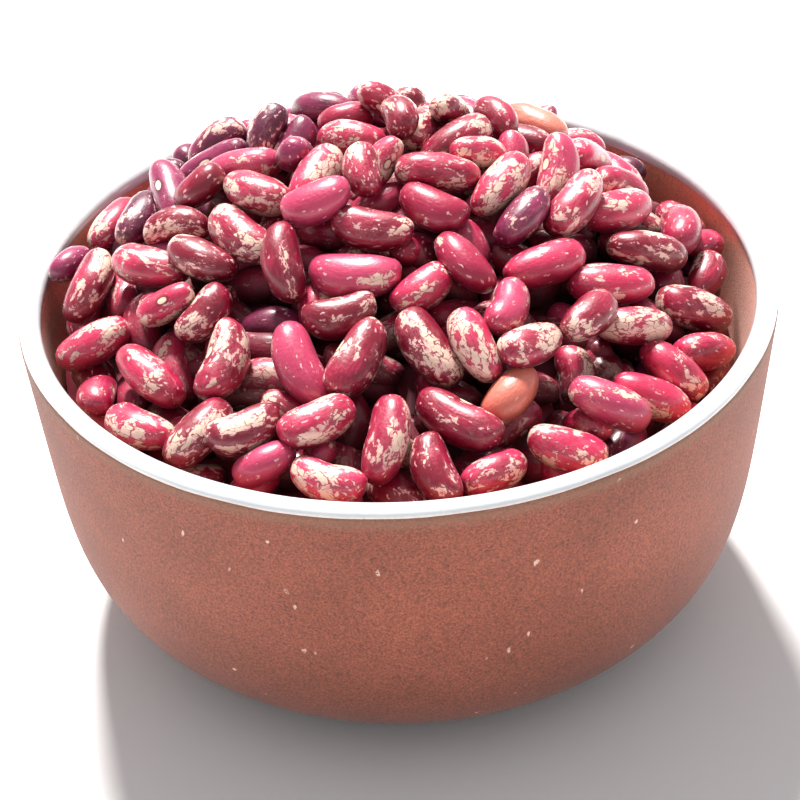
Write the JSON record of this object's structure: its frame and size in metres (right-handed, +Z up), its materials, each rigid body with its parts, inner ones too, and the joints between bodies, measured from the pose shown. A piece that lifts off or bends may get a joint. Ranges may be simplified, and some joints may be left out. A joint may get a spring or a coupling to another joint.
{
  "type": "bowl of dried beans",
  "caption": "Round terracotta-brown bowl with a white glazed rim, heaped above the rim with dried speckled kidney beans.",
  "frame": {"origin": "centre of the bowl's flat base, on the surface it stands on", "axes": "+Z up the bowl's axis; the picture looks along +Y, with +X to its right"},
  "size_m": [0.16, 0.16, 0.1077],
  "materials": {
    "stoneware": "matt fired clay, terracotta brown, with a glossy white glazed rim",
    "bean_skin": "satin dry bean skin, crimson and plum mottled with cream"
  },
  "bodies": {
    "root": {"bowl": "stoneware", "beans": "bean_skin"}
  },
  "joints": []
}
